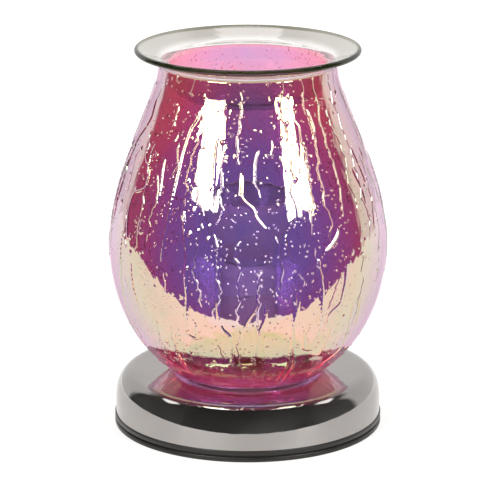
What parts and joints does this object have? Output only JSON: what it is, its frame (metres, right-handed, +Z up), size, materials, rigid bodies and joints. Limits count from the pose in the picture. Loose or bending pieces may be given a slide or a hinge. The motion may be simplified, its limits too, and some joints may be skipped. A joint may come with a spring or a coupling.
{
  "type": "electric wax melt burner",
  "caption": "Electric wax-melt lamp: a loose glass dish on a bulbous lustre-glass shade over a halogen reflector lamp, clamped to a round chromed touch base with a black foot ring.",
  "frame": {"origin": "centre of the foot ring on the table", "axes": "+Z up along the shade's axis, +Y towards the cord inlet at the back, +X to the right"},
  "size_m": [0.135, 0.135, 0.1861],
  "materials": {
    "chrome": "mirror-bright chrome plate",
    "foot_rubber": "satin black",
    "plate_paint": "matt black powder coat",
    "steel": "zinc plated",
    "gland_plastic": "moulded black",
    "brass": "machined",
    "silicone": "milky translucent silicone",
    "bush_plastic": "moulded natural",
    "lustre_glass": "petrol lustre coating, raised runs and drops",
    "clear_glass": "clear moulded glass",
    "disc_steel": "bright zinc",
    "holder_ceramic": "unglazed steatite",
    "contact_brass": "sprung brass strip",
    "cap_ceramic": "white ceramic",
    "pin_metal": "nickel plated",
    "reflector_glass": "dichroic coated pressed glass",
    "lens_glass": "clear front glass",
    "quartz": "clear quartz",
    "tungsten": "coiled tungsten",
    "case_plastic": "moulded dark grey",
    "board_laminate": "green solder resist",
    "ferrite": "dark ferrite",
    "copper": "enamelled copper wire",
    "capacitor_box": "moulded box",
    "chip_epoxy": "moulded epoxy",
    "block_nylon": "natural nylon",
    "lead_brown": "silicone insulation",
    "lead_blue": "silicone insulation",
    "lead_red": "silicone insulation",
    "lead_yellow": "silicone insulation"
  },
  "bodies": {
    "base": {"base_shell": "chrome", "foot_ring": "foot_rubber", "base_plate": "plate_paint", "base_pillars": "steel", "plate_screws": "steel", "cord_gland": "gland_plastic", "centre_tube": "brass", "touch_tag": "contact_brass", "lock_washer": "steel", "lower_nut": "brass", "lower_gasket": "silicone", "centring_bush": "bush_plastic", "glass_shade": "lustre_glass", "upper_gasket": "silicone", "clamp_disc": "disc_steel", "upper_nut": "brass", "lamp_bracket": "steel", "bracket_nut": "brass", "holder_cover": "holder_ceramic", "holder_body": "holder_ceramic", "holder_contacts": "contact_brass", "holder_screws": "steel", "dimmer_case": "case_plastic", "dimmer_lid": "case_plastic", "dimmer_board": "board_laminate", "choke_core": "ferrite", "choke_coil": "copper", "dimmer_capacitor": "capacitor_box", "dimmer_triac": "chip_epoxy", "dimmer_chip": "chip_epoxy", "case_screws": "steel", "terminal_block": "block_nylon", "terminal_inserts": "brass", "terminal_screws": "steel", "block_screw": "steel", "live_lead": "lead_brown", "neutral_lead": "lead_blue", "lamp_live_lead": "lead_red", "lamp_neutral_lead": "lead_blue", "touch_lead": "lead_yellow"},
    "lamp": {"lamp_cap": "cap_ceramic", "lamp_pins": "pin_metal", "lamp_reflector": "reflector_glass", "lamp_lens": "lens_glass", "lamp_capsule": "quartz", "lamp_seal": "quartz", "lamp_filament": "tungsten"},
    "dish": {"dish": "clear_glass"}
  },
  "joints": [
    {"name": "dish_lift", "type": "slide", "parent": "base", "child": "dish", "axis": [0, 0, 1], "range_m": [0, 0.08]},
    {"name": "lamp_twist", "type": "hinge", "parent": "base", "child": "lamp", "pos_m": [0, 0, 0.0659], "axis": [0, 0, 1], "range_deg": [0, 30]}
  ]
}
